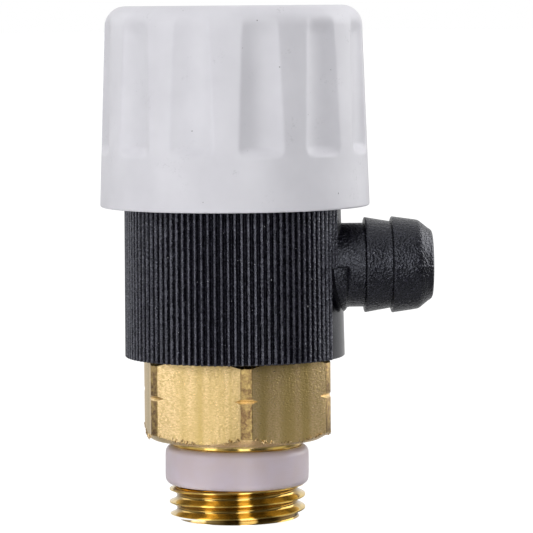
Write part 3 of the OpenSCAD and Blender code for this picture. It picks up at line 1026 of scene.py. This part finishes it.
@dataclass
class ValveBody:
    """Brass body: threaded nipple, hexagon and spigot."""

    flats: float = 21.0
    corner_r: float = 11.78
    turn: float = 34.0
    low_z: float = 9.8
    high_z: float = 19.9
    under_r: float = 9.95
    under_z: float = 8.9
    top_r: float = 10.2
    notch_z: float = 15.2
    notch_r: float = 11.4
    notch_half: float = 0.32
    neck_r: float = 7.6
    thread_r: float = 8.0
    root_r: float = 7.12
    pitch: float = 1.5
    crest_w: float = 0.17
    groove_power: float = 2.3
    end_r: float = 6.8
    thread_top: float = 4.7
    bore_r: float = 5.0
    chamber_r: float = 7.6
    chamber_z: float = 11.7
    journal_r: float = 9.5
    waist_r: float = 8.6
    waist_z: float = 24.5
    spigot_z: float = 36.0
    ring_groove_r: float = 8.1
    ring_groove_low: float = 21.3
    ring_groove_high: float = 23.1
    side_r: float = 10.0
    flange_r: float = 7.65
    thread_steps: int = 96

    def hexagon(self) -> bpy.types.Object:
        """Builds the hexagon with its turned chamfers and notch.

        Returns:
            The hexagon, as the piece that becomes the body.
        """
        slope = math.tan(math.radians(30))
        low = self.low_z + (self.corner_r - self.under_r) * slope
        high = self.high_z - (self.corner_r - self.top_r) * slope
        envelope = turned("hexagon_envelope",
                          [(0, self.low_z), (self.under_r, self.low_z), (self.corner_r, low),
                           (self.corner_r, self.notch_z - self.notch_half), (self.notch_r, self.notch_z),
                           (self.corner_r, self.notch_z + self.notch_half), (self.corner_r, high),
                           (self.top_r, self.high_z), (0, self.high_z)], 240, closed=False)
        bm = bmesh.new()
        across = self.flats / 2 / math.cos(math.radians(30)) * MM
        tall = (self.high_z - self.low_z + 2) * MM
        middle = (self.high_z + self.low_z) / 2 * MM
        seat = Matrix.Translation((0, 0, middle)) @ Matrix.Rotation(math.radians(self.turn + 30), 4, "Z")
        bmesh.ops.create_cone(bm, cap_ends=True, segments=6, radius1=across, radius2=across, depth=tall,
                              matrix=seat)
        block = as_object(bm, "brass_body")
        corner_angle = self.first_corner(block)
        bm = bmesh.new()
        bm.from_mesh(block.data)
        bmesh.ops.rotate(bm, verts=bm.verts, cent=(0, 0, 0),
                         matrix=Matrix.Rotation(math.radians(self.turn) - corner_angle, 3, "Z"))
        bm.to_mesh(block.data)
        bm.free()
        combine(block, envelope, Merge.KEEP_COMMON)
        soften(block, 0.07, 16)
        return block

    @staticmethod
    def first_corner(block: bpy.types.Object) -> float:
        """Gives the angle of one of a hexagon's corners, in radians."""
        corner = block.data.vertices[0].co
        return math.atan2(corner.y, corner.x)

    def thread(self) -> bpy.types.Object:
        """Builds the right-handed thread, longer at both ends than the nipple.

        Returns:
            The thread, to be trimmed.
        """
        half = (self.pitch - self.crest_w) / 2
        depth = self.thread_r - self.root_r
        start = -2.5 * self.pitch
        groove = [(self.root_r + depth * t ** self.groove_power, half * t) for t in ladder(0, 0.97, 9)]
        profile = ([(r, start + up) for r, up in groove]
                   + [(self.thread_r, start + half + 0.02),
                      (self.thread_r, start + half + self.crest_w - 0.02)]
                   + [(r, start + self.pitch - up) for r, up in reversed(groove)])
        turns = 7
        bm = bmesh.new()
        corners = [bm.verts.new((r * MM, 0.0, z * MM)) for r, z in profile]
        edges = [bm.edges.new(pair) for pair in zip(corners, corners[1:])]
        steps = turns * self.thread_steps
        bmesh.ops.spin(bm, geom=corners + edges, cent=(0, 0, 0), axis=(0, 0, 1),
                       dvec=(0, 0, self.pitch * MM / self.thread_steps), angle=FULL_TURN * turns,
                       steps=steps, use_merge=False, use_duplicate=False)
        bmesh.ops.remove_doubles(bm, verts=bm.verts, dist=1e-6)
        self.close_ends(bm)
        bmesh.ops.recalc_face_normals(bm, faces=bm.faces)
        return as_object(bm, "nipple_thread")

    @staticmethod
    def close_ends(bm: bmesh.types.BMesh) -> None:
        """Draws both open ends of the thread out to flat discs.

        Args:
            bm: the thread's mesh.
        """
        middle = sum(vert.co.z for vert in bm.verts) / len(bm.verts)
        for side in (-1, 1):
            rim = [edge for edge in bm.edges if edge.is_boundary
                   and (edge.verts[0].co.z - middle) * side > 0]
            made = bmesh.ops.extrude_edge_only(bm, edges=rim)["geom"]
            edge_verts = [item for item in made if isinstance(item, bmesh.types.BMVert)]
            level = max(vert.co.z * side for vert in edge_verts) * side + side * MM
            for vert in edge_verts:
                vert.co.z = level
            chosen = set(edge_verts)
            loop = [item for item in made
                    if isinstance(item, bmesh.types.BMEdge) and set(item.verts) <= chosen]
            bmesh.ops.contextual_create(bm, geom=loop)

    def build(self, finishes: Finishes) -> bpy.types.Object:
        """Builds the brass body.

        Args:
            finishes: the vent's finishes.

        Returns:
            The body.
        """
        body = self.hexagon()
        nipple = self.thread()
        limits = turned("nipple_envelope",
                        [(0, 0), (self.end_r - 0.15, 0), (self.end_r, 0.08), (self.thread_r + 0.02, 0.95),
                         (self.thread_r + 0.02, self.thread_top), (0, self.thread_top)], 192, closed=False)
        combine(nipple, limits, Merge.KEEP_COMMON)
        neck = turned("neck",
                      [(0, 3.9), (self.root_r, 3.9), (self.neck_r - 0.1, 4.4), (self.neck_r - 0.1, 8.7),
                       (self.neck_r, 9.0), (self.neck_r + 0.05, 9.3)]
                      + arc((self.neck_r + 0.65, 9.3), 0.6, 180, 100, 5)
                      + [(9.0, 9.95), (0, 9.95)], 192, closed=False)
        spigot = turned("spigot",
                        [(0, 19.5), (self.journal_r, 19.5), (self.journal_r, self.ring_groove_low),
                         (self.ring_groove_r, self.ring_groove_low),
                         (self.ring_groove_r, self.ring_groove_high),
                         (self.journal_r, self.ring_groove_high), (self.journal_r, self.waist_z),
                         (self.waist_r, self.waist_z), (self.waist_r, self.spigot_z), (0, self.spigot_z)],
                        192, closed=False)
        bores = turned("passages",
                       [(0, -1.0), (self.bore_r + 1.3, -1.0), (self.bore_r, 0.3),
                        (self.bore_r, self.chamber_z), (self.chamber_r, self.chamber_z),
                        (self.chamber_r, self.spigot_z + 1), (0, self.spigot_z + 1)], 192, closed=False)
        for tool in (neck, nipple, spigot):
            combine(body, tool, Merge.JOIN)
        combine(body, bores, Merge.CUT)
        shade(body, 30)
        finishes.dress(body, Slot.BRASS)
        self.dress_faces(body, finishes)
        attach(body, Body.VALVE.value)
        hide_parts("valve_body")
        return body

    def dress_faces(self, body: bpy.types.Object, finishes: Finishes) -> None:
        """Gives every face but the hexagon's sides and underside the turned finish.

        Args:
            body: the body.
            finishes: the vent's finishes.
        """
        body.data.materials.append(finishes.turned_brass)
        for face in body.data.polygons:
            height = face.center.z
            radius = face.center.xy.length
            in_notch = abs(height - self.notch_z * MM) < self.notch_half * MM
            upright = abs(face.normal.z) < 0.3 or in_notch
            side = upright and self.low_z * MM < height < self.high_z * MM and radius > self.side_r * MM
            under = self.under_z * MM < height < self.high_z * MM and radius > self.flange_r * MM
            face.material_index = 0 if side or (under and face.normal.z < 0) else 1


@dataclass
class EdgeBurrs:
    """Fine torn burrs that the lathe left along the hexagon's lower edge."""

    body: ValveBody
    per_flat: int = 46
    longest: float = 0.72
    seed: int = 7

    def build(self, finishes: Finishes) -> bpy.types.Object:
        """Builds the burrs as one piece of many tiny spikes.

        Args:
            finishes: the vent's finishes.

        Returns:
            The burrs.
        """
        chance = random.Random(self.seed)
        flat_r = self.body.flats / 2
        reach = math.degrees(math.acos(flat_r / self.body.corner_r))
        slope = math.tan(math.radians(30))
        bm = bmesh.new()
        for side in range(6):
            middle = self.body.turn + 60 * side + 30
            for _ in range(self.per_flat):
                off = chance.uniform(-reach, reach) * 0.97
                radius = flat_r / math.cos(math.radians(off))
                height = self.body.low_z + (radius - self.body.under_r) * slope
                length = self.longest * chance.uniform(0.35, 1.0)
                width = 0.07 + 0.12 * chance.random()
                spot = (Matrix.Rotation(math.radians(middle + off), 4, "Z")
                        @ Matrix.Translation(Vector((radius - 0.04, 0, height + 0.02)) * MM)
                        @ Matrix.Rotation(math.radians(chance.uniform(-50, 50)), 4, "X")
                        @ Matrix.Rotation(math.radians(chance.uniform(150, 185)), 4, "Y"))
                bmesh.ops.create_cone(bm, cap_ends=True, segments=5, radius1=width * MM, radius2=0.012 * MM,
                                      depth=length * MM, matrix=spot)
        burrs = as_object(bm, "edge_burrs", 20)
        finishes.dress(burrs, Slot.BRASS)
        burrs.data.materials[0] = finishes.torn_brass
        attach(burrs, Body.VALVE.value)
        return burrs


@dataclass
class SealRing:
    """Nylon ring on the nipple's neck, a little out of square as it comes from stock."""

    low_z: float = 4.35
    high_z: float = 8.9
    outer_r: float = 8.43
    inner_r: float = 7.5
    round_r: float = 0.8
    lean: float = 0.5

    def build(self, finishes: Finishes) -> bpy.types.Object:
        """Builds the ring.

        Args:
            finishes: the vent's finishes.

        Returns:
            The ring.
        """
        outer, bend = self.outer_r, self.round_r
        profile = ([(self.inner_r, self.low_z + 0.1), (self.inner_r + 0.1, self.low_z)]
                   + arc((outer - bend, self.low_z + bend), bend, -90, 0, 8)
                   + [(outer + 0.02, z) for z in ladder(self.low_z + 1.4, self.high_z - 1.4, 3)]
                   + arc((outer - bend, self.high_z - bend), bend, 0, 90, 8)
                   + [(self.inner_r + 0.1, self.high_z), (self.inner_r, self.high_z - 0.1)])
        bm = spun(profile, 192)
        middle = Vector((0, 0, (self.low_z + self.high_z) / 2 * MM))
        bmesh.ops.rotate(bm, verts=bm.verts, cent=middle,
                         matrix=Matrix.Rotation(math.radians(self.lean), 3, "Y"))
        ring = as_object(bm, "nylon_seal_ring", 50)
        finishes.dress(ring, Slot.NYLON)
        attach(ring, Body.VALVE.value)
        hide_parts("seal_ring")
        return ring


# ---------------------------------------------------------------- studio

@dataclass
class Studio:
    """Pale floor, white surroundings, soft lights and the camera."""

    azimuth: float = -2.0
    distance: float = 404.4
    eye_z: float = 60.3
    down: float = 4.3
    roll: float = 0.45
    aside: float = 3.64
    sensor: float = 36.0
    lens: float = 233.2
    floor_r: float = 8000.0
    floor_drop: float = 0.02
    white_near: float = 0.14
    white_far: float = 0.85
    aim_z: float = 30.0
    glows: tuple[tuple[float, float, float, float, float], ...] = (
        (-60, 18, 50, 0.42, 8000), (-45, 5, 13, 1.85, 8000), (10, 4, 11, 2.0, 8000), (68, 10, 26, 0.42, 110),
        (180, 35, 90, 0.55, 8000))

    def floor(self) -> bpy.types.Object:
        """Lays a round, self-lit pale floor under the nipple's end.

        Each glow is white light that the vent sees but the camera doesn't: its azimuth, the half-angles in
        degrees where it is full and where it ends, its strength, and the reach in mm where it ends.

        Returns:
            The floor.
        """
        bm = bmesh.new()
        bmesh.ops.create_circle(bm, cap_ends=True, segments=96, radius=self.floor_r * MM)
        bmesh.ops.translate(bm, verts=bm.verts, vec=(0, 0, -self.floor_drop * MM))
        floor = as_object(bm, "pale_floor")
        board = Board("pale_floor")
        place = board.node("ShaderNodeTexCoord").outputs["Object"]
        facing = board.node("ShaderNodeVectorMath", operation="NORMALIZE")
        board.wire(place, facing.inputs[0])
        reach = board.node("ShaderNodeVectorMath", operation="LENGTH")
        board.wire(place, reach.inputs[0])
        total = board.node("ShaderNodeLightPath").outputs["Is Camera Ray"]
        for azimuth, inner, outer, strength, far in self.glows:
            aimed = board.node("ShaderNodeVectorMath", operation="DOT_PRODUCT")
            aimed.inputs[1].default_value = toward(azimuth)
            board.wire(facing.outputs[0], aimed.inputs[0])
            glow = board.node("ShaderNodeMapRange", interpolation_type="SMOOTHSTEP")
            glow.inputs["From Min"].default_value = math.cos(math.radians(outer))
            glow.inputs["From Max"].default_value = math.cos(math.radians(inner))
            board.wire(aimed.outputs["Value"], glow.inputs["Value"])
            near = board.span(reach.outputs["Value"], far * MM, far / 2 * MM, 0.0, strength)
            board.wire(near, glow.inputs["To Max"])
            total = board.sum("MAXIMUM", total, glow.outputs["Result"])
        floor.data.materials.append(board.finish(Base_Color=(0.07, 0.07, 0.07, 1), Roughness=0.9,
                                                 Emission_Color=(1, 1, 1, 1), Emission_Strength=total))
        return floor

    def surroundings(self) -> None:
        """Makes the world white behind the vent and dim on the camera's side."""
        world = bpy.data.worlds.new("white_studio")
        bpy.context.scene.world = world
        world.use_nodes = True
        tree = world.node_tree
        glow = tree.nodes["Background"]
        glow.inputs["Color"].default_value = (1, 1, 1, 1)
        place = tree.nodes.new("ShaderNodeTexCoord")
        split = tree.nodes.new("ShaderNodeSeparateXYZ")
        side = tree.nodes.new("ShaderNodeMapRange")
        limits = {"From Min": -0.1, "From Max": 0.5, "To Min": self.white_near, "To Max": self.white_far}
        for key, value in limits.items():
            side.inputs[key].default_value = value
        path = tree.nodes.new("ShaderNodeLightPath")
        seen = tree.nodes.new("ShaderNodeMath")
        seen.operation = "MAXIMUM"
        for source, target in ((place.outputs["Generated"], split.inputs[0]),
                               (split.outputs["Y"], side.inputs["Value"]),
                               (side.outputs["Result"], seen.inputs[0]),
                               (path.outputs["Is Camera Ray"], seen.inputs[1]),
                               (seen.outputs[0], glow.inputs["Strength"])):
            tree.links.new(source, target)

    def light(self, name: str, azimuth: float, height: float, away: float, size: Point,
              power: float) -> bpy.types.Object:
        """Hangs a soft box that faces the vent.

        Args:
            name: the light's name.
            azimuth: its direction in degrees, 0 towards the viewer and positive to the right.
            height: its height, in mm.
            away: its distance from the axis, in mm.
            size: its width and height, in mm.
            power: its power, in watts.

        Returns:
            The light.
        """
        lamp = bpy.data.lights.new(name, "AREA")
        lamp.shape = "RECTANGLE"
        lamp.size = size[0] * MM
        lamp.size_y = size[1] * MM
        lamp.energy = power
        holder = bpy.data.objects.new(name, lamp)
        bpy.context.scene.collection.objects.link(holder)
        spot = (toward(azimuth) * away + Vector((0, 0, height))) * MM
        aim = Vector((0, 0, self.aim_z * MM)) - spot
        holder.matrix_world = Matrix.Translation(spot) @ aim.to_track_quat("-Z", "Y").to_matrix().to_4x4()
        return holder

    def camera(self) -> bpy.types.Object:
        """Sets the camera at the viewing angle.

        Returns:
            The camera.
        """
        data = bpy.data.cameras.new("view")
        data.lens = self.lens
        data.sensor_width = self.sensor
        data.clip_start = 0.01
        data.clip_end = 50
        camera = bpy.data.objects.new("view", data)
        bpy.context.scene.collection.objects.link(camera)
        angle = math.radians(self.azimuth)
        right = Vector((math.cos(angle), math.sin(angle), 0))
        spot = toward(self.azimuth) * self.distance + Vector((0, 0, self.eye_z))
        spot = (spot + right * self.aside) * MM
        turn = (Matrix.Rotation(angle, 4, "Z") @ Matrix.Rotation(math.radians(90 - self.down), 4, "X")
                @ Matrix.Rotation(math.radians(-self.roll), 4, "Z"))
        camera.matrix_world = Matrix.Translation(spot) @ turn
        bpy.context.scene.camera = camera
        return camera

    def build(self) -> None:
        """Sets up floor, surroundings, lights and camera."""
        self.floor()
        self.surroundings()
        self.light("key_left", -60, 200, 600, (160, 520), 0.92)
        self.light("front_right", 9, 230, 600, (220, 520), 1.28)
        self.light("side_right", 110, 220, 600, (480, 560), 2.3)
        self.light("side_left", -120, 220, 600, (300, 560), 0.5)
        self.light("top", -20, 600, 180, (640, 640), 1.25)
        self.camera()
        settings = bpy.context.scene.view_settings
        settings.view_transform = "Standard"
        settings.look = "None"


def main() -> None:
    """Builds the studio and the vent."""
    logging.basicConfig(level=logging.INFO, format="%(message)s")
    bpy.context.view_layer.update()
    Studio().build()
    finishes = Finishes()
    finishes.dress_frame()
    for made in HandCap().build(finishes):
        LOG.info("%s: %d faces", made.name, len(made.data.polygons))
    body = ValveBody()
    for made in (SwivelHousing().build(finishes), body.build(finishes), EdgeBurrs(body).build(finishes),
                 SealRing().build(finishes)):
        LOG.info("%s: %d faces", made.name, len(made.data.polygons))


if __name__ == "__main__":
    main()
